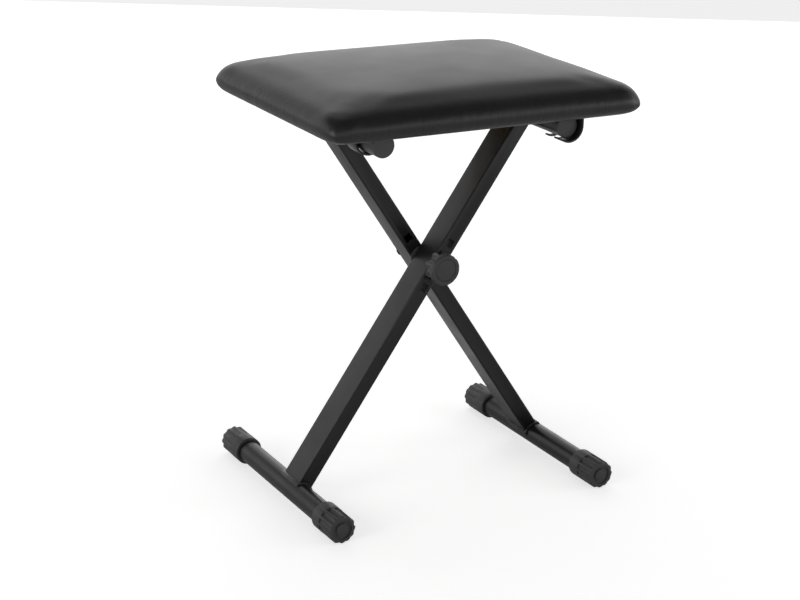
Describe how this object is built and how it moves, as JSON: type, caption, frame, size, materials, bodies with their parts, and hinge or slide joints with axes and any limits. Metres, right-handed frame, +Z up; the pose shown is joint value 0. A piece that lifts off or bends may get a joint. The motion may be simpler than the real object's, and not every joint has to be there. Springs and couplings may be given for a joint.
{
  "type": "folding keyboard bench",
  "caption": "Folding bench with a padded rectangular seat on a crossed tube frame, with foot bars, end caps and a clamping knob at the crossing.",
  "frame": {"origin": "on the floor, midway between the feet, below the crossing bolt", "axes": "+X from the left foot bar to the right one, +Y along the foot bars away from the knob, +Z up"},
  "size_m": [0.38, 0.296, 0.4803],
  "materials": {
    "cover": "satin",
    "foam": "matte",
    "board": "matte",
    "frame_coat": "satin",
    "bracket_coat": "satin",
    "cap_plastic": "matte",
    "plug_plastic": "matte",
    "knob_plastic": "matte",
    "dark_steel": "satin",
    "zinc_steel": "satin",
    "spacer_plastic": "matte"
  },
  "bodies": {
    "seat": {"seat_board": "board", "seat_foam": "foam", "seat_cover": "cover", "left_front_strap": "bracket_coat", "left_rear_strap": "bracket_coat", "right_front_hook": "bracket_coat", "right_rear_hook": "bracket_coat", "bracket_screws": "zinc_steel"},
    "rear_leg": {"rear_leg_tube": "frame_coat", "rear_leg_welds": "frame_coat", "right_foot_bar": "frame_coat", "left_top_bar": "frame_coat", "right_front_foot_cap": "cap_plastic", "right_rear_foot_cap": "cap_plastic", "left_front_bar_plug": "plug_plastic", "left_rear_bar_plug": "plug_plastic", "carriage_bolt": "dark_steel", "leg_spacer": "spacer_plastic"},
    "front_leg": {"front_leg_tube": "frame_coat", "front_leg_welds": "frame_coat", "left_foot_bar": "frame_coat", "right_top_bar": "frame_coat", "left_front_foot_cap": "cap_plastic", "left_rear_foot_cap": "cap_plastic", "right_front_bar_plug": "plug_plastic", "right_rear_bar_plug": "plug_plastic"},
    "washer": {"knob_washer": "dark_steel"},
    "knob": {"knob": "knob_plastic", "knob_nut": "zinc_steel", "knob_cap": "knob_plastic"}
  },
  "joints": [
    {"name": "fold", "type": "hinge", "parent": "seat", "child": "rear_leg", "pos_m": [-0.111, 0, 0.41949], "axis": [0, 1, 0], "range_deg": [0, 28]},
    {"name": "cross", "type": "hinge", "parent": "rear_leg", "child": "front_leg", "pos_m": [0, 0, 0.25673], "axis": [0, 1, 0], "range_deg": [-56, 0]},
    {"name": "knob_travel", "type": "slide", "parent": "rear_leg", "child": "washer", "axis": [0, -1, 0], "range_m": [0, 0.00375]},
    {"name": "knob_turn", "type": "hinge", "parent": "washer", "child": "knob", "pos_m": [0, -0.039, 0.25673], "axis": [0, -1, 0], "range_deg": [0, 1080]}
  ],
  "couplings": [
    {"joint": "cross", "follows": "fold", "ratio": -2},
    {"joint": "knob_travel", "follows": "knob_turn", "m_per_rad": 0.00019894}
  ]
}
